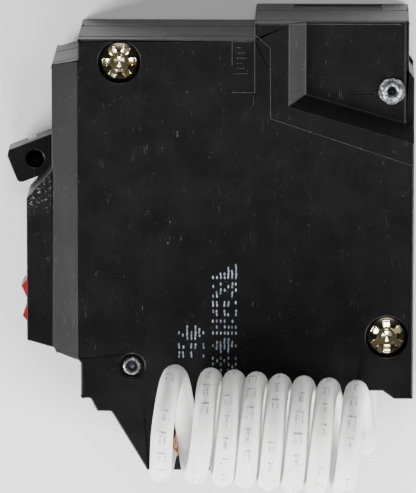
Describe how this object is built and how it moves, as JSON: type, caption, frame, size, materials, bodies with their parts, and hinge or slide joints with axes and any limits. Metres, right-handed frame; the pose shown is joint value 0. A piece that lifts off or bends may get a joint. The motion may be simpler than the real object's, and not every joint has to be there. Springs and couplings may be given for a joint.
{
  "type": "gfci circuit breaker",
  "caption": "Plug-in ground-fault circuit breaker with toggle handle, test button, bus jaw, wire lugs and a coiled neutral pigtail.",
  "frame": {"origin": "bottom centre of the breaker lying on its breaker-half side, without the pigtail", "axes": "+X from the handle front to the bus-jaw rear, +Y from the load end to the line end, +Z across the 1 inch width"},
  "size_m": [0.0748, 0.085, 0.0471],
  "materials": {
    "case_plastic": "satin moulded",
    "cover_plastic": "satin moulded",
    "handle_plastic": "satin moulded",
    "button_plastic": "satin moulded",
    "zinc_screw": "yellow zinc plated",
    "plain_steel": "satin",
    "copper": "bare",
    "silver": "bare",
    "aluminium": "satin",
    "fibre": "matt",
    "board": "solder mask",
    "component_black": "matt",
    "component_film": "satin",
    "component_blue": "satin",
    "winding": "enamelled",
    "nylon": "satin",
    "rubber": "matt",
    "lead_insulation": "satin",
    "hot_insulation": "satin"
  },
  "bodies": {
    "housing": {"breaker_case": "case_plastic", "gfi_case": "case_plastic", "gfi_cover": "cover_plastic", "cover_screws": "zinc_screw", "assembly_rivets": "plain_steel", "fixed_contact": "silver", "line_strap": "copper", "line_jaw": "copper", "jaw_spring": "plain_steel", "arc_chute_plates": "plain_steel", "arc_chute_back": "fibre", "pivot_pins": "plain_steel", "toggle_spring": "plain_steel", "magnet_yoke": "plain_steel", "bimetal": "plain_steel", "bimetal_bracket": "copper", "calibration_screw": "plain_steel", "flexible_braid": "copper", "load_strap": "copper", "load_lug": "aluminium", "neutral_strap": "copper", "neutral_lug": "aluminium", "hot_conductor": "hot_insulation", "neutral_conductor": "lead_insulation", "circuit_board": "board", "controller_chip": "component_black", "filter_capacitor": "component_black", "film_capacitors": "component_film", "surge_suppressor": "component_blue", "trip_thyristor": "component_black", "resistors": "component_film", "diodes": "component_black", "sense_transformer": "winding", "neutral_transformer": "winding", "solenoid_frame": "plain_steel", "solenoid_bobbin": "nylon", "solenoid_coil": "winding", "plunger_spring": "plain_steel", "button_spring": "plain_steel", "test_contact": "copper", "lead_grommet": "rubber", "pigtail_lead": "lead_insulation", "pigtail_coil": "lead_insulation", "pigtail_copper_end": "copper"},
    "handle": {"handle": "handle_plastic", "arm_pin": "plain_steel"},
    "contact_arm": {"contact_arm": "copper", "moving_contact": "silver"},
    "trip_lever": {"trip_lever": "plain_steel"},
    "armature": {"armature": "plain_steel"},
    "plunger": {"plunger": "plain_steel", "trip_finger": "plain_steel"},
    "test_button": {"test_button": "button_plastic"},
    "load_screw": {"load_screw": "plain_steel"},
    "neutral_screw": {"neutral_screw": "plain_steel"}
  },
  "joints": [
    {"name": "handle_swing", "type": "hinge", "parent": "housing", "child": "handle", "pos_m": [-0.02107, 0.0179, 0.00525], "axis": [0, 0, 1], "range_deg": [-42, 0]},
    {"name": "contact_arm_swing", "type": "hinge", "parent": "handle", "child": "contact_arm", "pos_m": [-0.01641, 0.01972, 0.0047], "axis": [0, 0, 1], "range_deg": [0, 61], "deforming": ["toggle_spring", "flexible_braid"]},
    {"name": "trip_lever_swing", "type": "hinge", "parent": "housing", "child": "trip_lever", "pos_m": [-0.012, 0.004, 0.0027], "axis": [0, 0, 1], "range_deg": [-18, 0]},
    {"name": "plunger_slide", "type": "slide", "parent": "housing", "child": "plunger", "axis": [1, 0, 0], "range_m": [0, 0.0016], "stiffness_N_per_m": 150, "springref_m": -0.002, "deforming": ["plunger_spring"]},
    {"name": "armature_swing", "type": "hinge", "parent": "housing", "child": "armature", "pos_m": [0.0086, -0.01, 0.00525], "axis": [0, 0, 1], "range_deg": [-6, 0]},
    {"name": "test_button_press", "type": "slide", "parent": "housing", "child": "test_button", "axis": [1, 0, 0], "range_m": [0, 0.0012], "stiffness_N_per_m": 300, "springref_m": -0.001, "deforming": ["button_spring", "test_contact"]},
    {"name": "load_screw_turn", "type": "hinge", "parent": "housing", "child": "load_screw", "pos_m": [-0.009, -0.03525, 0.0058], "axis": [1, 0, 0], "continuous": true},
    {"name": "neutral_screw_turn", "type": "hinge", "parent": "housing", "child": "neutral_screw", "pos_m": [-0.009, -0.03525, 0.0148], "axis": [1, 0, 0], "continuous": true}
  ],
  "couplings": [
    {"joint": "contact_arm_swing", "follows": "handle_swing", "ratio": -1.4522},
    {"joint": "armature_swing", "follows": "plunger_slide", "rad_per_m": -65.443}
  ]
}
